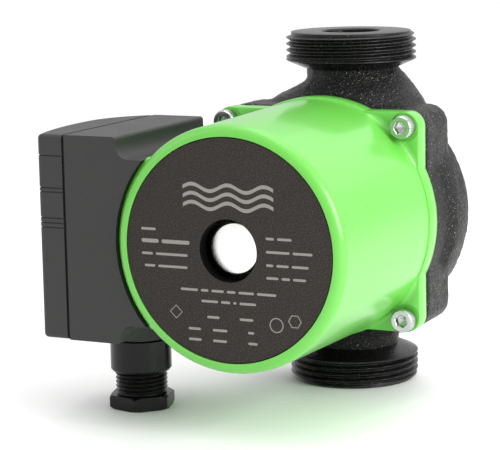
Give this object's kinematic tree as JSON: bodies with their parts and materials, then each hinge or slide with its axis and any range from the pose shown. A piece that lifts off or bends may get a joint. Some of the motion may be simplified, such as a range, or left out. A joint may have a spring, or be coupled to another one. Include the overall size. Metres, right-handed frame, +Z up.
{
  "type": "circulator pump",
  "caption": "Compact wet-rotor heating circulator with two threaded in-line ports, a round motor housing, a side terminal box and a cable gland.",
  "frame": {"origin": "middle of the lower port's sealing face, on the pipe axis", "axes": "+Z up the pipe axis to the upper port, -Y out of the motor's front face, -X to the terminal box"},
  "size_m": [0.1234, 0.1291, 0.13],
  "materials": {
    "cast_iron_black": "rough cast surface, black coated",
    "green_paint": "smooth apple-green gloss paint",
    "black_plastic": "fine spark-eroded texture",
    "dark_plastic": "smooth moulded",
    "nameplate_foil": "fine grained foil, dark grey-brown",
    "zinc_steel": "bright zinc plated",
    "stainless": "deep drawn, polished",
    "ceramic": "ground",
    "carbon": "lapped carbon",
    "epdm": "moulded rubber",
    "impeller_plastic": "glass filled",
    "magnet": "sintered ferrite",
    "electrical_steel": "stacked laminations",
    "copper": "enamelled copper wire",
    "bobbin_plastic": "natural nylon",
    "circuit_board": "solder mask",
    "component_plastic": "moulded",
    "terminal_plastic": "light grey nylon",
    "clear_plastic": "clear light guide",
    "button_plastic": "grey button cap"
  },
  "bodies": {
    "pump": {"pump_casing": "cast_iron_black", "wear_ring": "stainless", "casing_gasket": "epdm", "bearing_plate": "stainless", "front_bearing": "carbon", "rear_bearing": "carbon", "rotor_can": "stainless", "stator_core": "electrical_steel", "coil_bobbins": "bobbin_plastic", "stator_windings": "copper", "motor_housing": "green_paint", "nameplate": "nameplate_foil", "housing_screws": "zinc_steel", "terminal_box_base": "black_plastic", "terminal_box_cover": "black_plastic", "box_seal": "epdm", "indicator_window": "clear_plastic", "cover_screws": "zinc_steel", "mode_switch": "component_plastic", "control_board": "circuit_board", "bus_capacitor": "component_plastic", "power_module": "component_plastic", "line_choke": "component_plastic", "status_lights": "clear_plastic", "terminal_block": "terminal_plastic", "terminal_screws": "zinc_steel", "stator_connector": "terminal_plastic", "box_fixing_screws": "zinc_steel", "gland_body": "dark_plastic", "gland_grommet": "epdm"},
    "rotor": {"rotor_shaft": "ceramic", "rotor_magnet": "magnet", "rotor_sleeve": "stainless", "thrust_ring": "carbon", "impeller": "impeller_plastic", "impeller_front_shroud": "impeller_plastic"},
    "mode_button": {"mode_button": "button_plastic"},
    "gland_washer": {"gland_washer": "bobbin_plastic"},
    "gland_nut": {"gland_nut": "dark_plastic"}
  },
  "joints": [
    {"name": "rotor_spin", "type": "hinge", "parent": "pump", "child": "rotor", "pos_m": [0, -0.03, 0.065], "axis": [0, -1, 0], "continuous": true},
    {"name": "mode_button_press", "type": "slide", "parent": "pump", "child": "mode_button", "axis": [1, 0, 0], "range_m": [0, 0.0008], "stiffness_N_per_m": 900, "springref_m": -0.0005},
    {"name": "gland_travel", "type": "slide", "parent": "pump", "child": "gland_washer", "axis": [0, 0, 1], "range_m": [0, 0.00601], "deforming": ["gland_grommet"]},
    {"name": "gland_nut_turn", "type": "hinge", "parent": "gland_washer", "child": "gland_nut", "pos_m": [-0.053, -0.07, 0], "axis": [0, 0, 1], "range_deg": [0, 1440]}
  ],
  "couplings": [
    {"joint": "gland_travel", "follows": "gland_nut_turn", "m_per_rad": 0.00023873}
  ]
}
